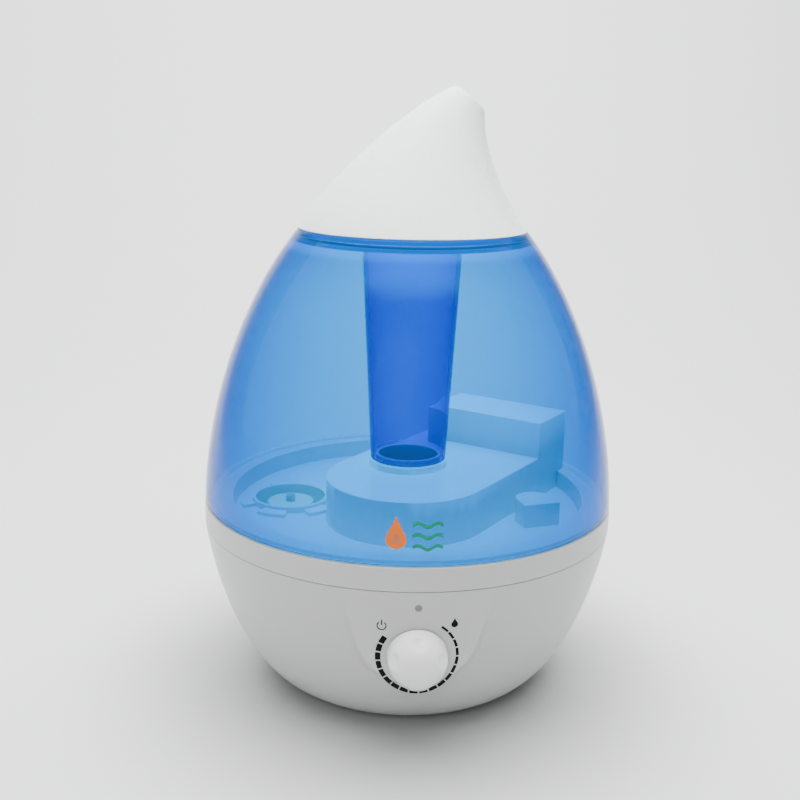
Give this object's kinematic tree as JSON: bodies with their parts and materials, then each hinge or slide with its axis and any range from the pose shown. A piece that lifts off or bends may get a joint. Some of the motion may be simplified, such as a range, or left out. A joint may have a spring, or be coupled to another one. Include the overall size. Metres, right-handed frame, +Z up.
{
  "type": "cool mist humidifier",
  "caption": "Ultrasonic table humidifier: clear drop-shaped tank with a leaning nozzle, on a round base with a knob.",
  "frame": {"origin": "on the floor, under the middle of the overall box, which is 5.9 mm in front of the body's own axis because of the knob", "axes": "+Z up along the body's axis, the knob and control panel face -Y, the nozzle leans to +X"},
  "size_m": [0.21, 0.2219, 0.3037],
  "materials": {
    "tank_blue": "clear blue, polished",
    "pale_blue": "translucent milky, smooth",
    "flue_blue": "clear blue, polished",
    "clear_rubber": "soft milky silicone",
    "cap_plastic": "fine satin",
    "valve_plastic": "fine satin",
    "black_rubber": "matte",
    "spring_steel": "drawn wire",
    "white_plastic": "moulded, semi gloss",
    "nozzle_white": "moulded, semi gloss",
    "screw_steel": "zinc plated",
    "transducer_metal": "ground",
    "clamp_metal": "machined",
    "fan_black": "fine matte",
    "board_green": "solder resist",
    "part_black": "moulded",
    "heat_sink_metal": "extruded",
    "core_grey": "laminated",
    "coil_tape": "wound and taped",
    "pot_blue": "moulded",
    "knob_white": "high gloss",
    "led_clear": "clear resin",
    "lens_grey": "smoked lens",
    "float_white": "foam",
    "magnet_grey": "ferrite"
  },
  "bodies": {
    "base": {"base_tray": "white_plastic", "lower_housing": "white_plastic", "control_panel": "white_plastic", "bottom_cover": "white_plastic", "cover_screws": "screw_steel", "housing_screws": "screw_steel", "rubber_feet": "black_rubber", "cord_gland": "black_rubber", "transducer_disc": "transducer_metal", "transducer_seal": "black_rubber", "transducer_clamp": "clamp_metal", "transducer_screws": "screw_steel", "fan_frame": "fan_black", "fan_screws": "screw_steel", "air_duct": "white_plastic", "main_board": "board_green", "board_parts": "part_black", "heat_sink": "heat_sink_metal", "board_screws": "screw_steel", "transformer_core": "core_grey", "transformer_coil": "coil_tape", "potentiometer": "pot_blue", "pot_nut": "screw_steel", "led": "led_clear", "led_lens": "lens_grey", "reed_switch": "led_clear"},
    "tank": {"tank_shell": "tank_blue", "tank_bottom": "pale_blue", "flue_tube": "flue_blue", "flue_seal": "clear_rubber", "tank_seal": "clear_rubber"},
    "guide": {"mist_guide": "white_plastic"},
    "nozzle": {"nozzle_shell": "nozzle_white"},
    "gasket": {"cap_gasket": "clear_rubber"},
    "cap": {"filler_cap": "cap_plastic"},
    "valve": {"valve_stem": "valve_plastic", "valve_seal": "black_rubber", "valve_spring": "spring_steel"},
    "control": {"knob": "knob_white", "pot_shaft": "clamp_metal"},
    "fan": {"fan_rotor": "fan_black"},
    "float": {"float_ring": "float_white", "float_magnet": "magnet_grey"}
  },
  "joints": [
    {"name": "tank_lift", "type": "slide", "parent": "base", "child": "tank", "axis": [0, 0, 1], "range_m": [0, 0.12]},
    {"name": "nozzle_lift", "type": "slide", "parent": "tank", "child": "guide", "axis": [0, 0, 1], "range_m": [0, 0.06]},
    {"name": "nozzle_turn", "type": "hinge", "parent": "guide", "child": "nozzle", "pos_m": [0, 0.00593, 0.235], "axis": [0, 0, 1], "continuous": true},
    {"name": "cap_drop", "type": "slide", "parent": "tank", "child": "gasket", "axis": [0, 0, -1], "range_m": [0, 0.0015]},
    {"name": "cap_turn", "type": "hinge", "parent": "gasket", "child": "cap", "pos_m": [-0.0615, 0.01093, 0.08], "axis": [0, 0, -1], "range_deg": [0, 60]},
    {"name": "valve_travel", "type": "slide", "parent": "tank", "child": "valve", "axis": [0, 0, 1], "range_m": [-0.003, 0], "deforming": ["valve_spring"]},
    {"name": "knob_turn", "type": "hinge", "parent": "base", "child": "control", "pos_m": [0, -0.09648, 0.054], "axis": [0, 0.9968, 0.0805], "range_deg": [0, 300]},
    {"name": "fan_spin", "type": "hinge", "parent": "base", "child": "fan", "pos_m": [0.04439, 0.04034, 0.048], "axis": [0, 0, 1], "continuous": true},
    {"name": "float_rise", "type": "slide", "parent": "base", "child": "float", "axis": [0, 0, 1], "range_m": [0, 0.01]}
  ],
  "couplings": [
    {"joint": "cap_drop", "follows": "cap_turn", "m_per_rad": 0.00143},
    {"joint": "valve_travel", "follows": "tank_lift", "ratio": -0.025}
  ]
}
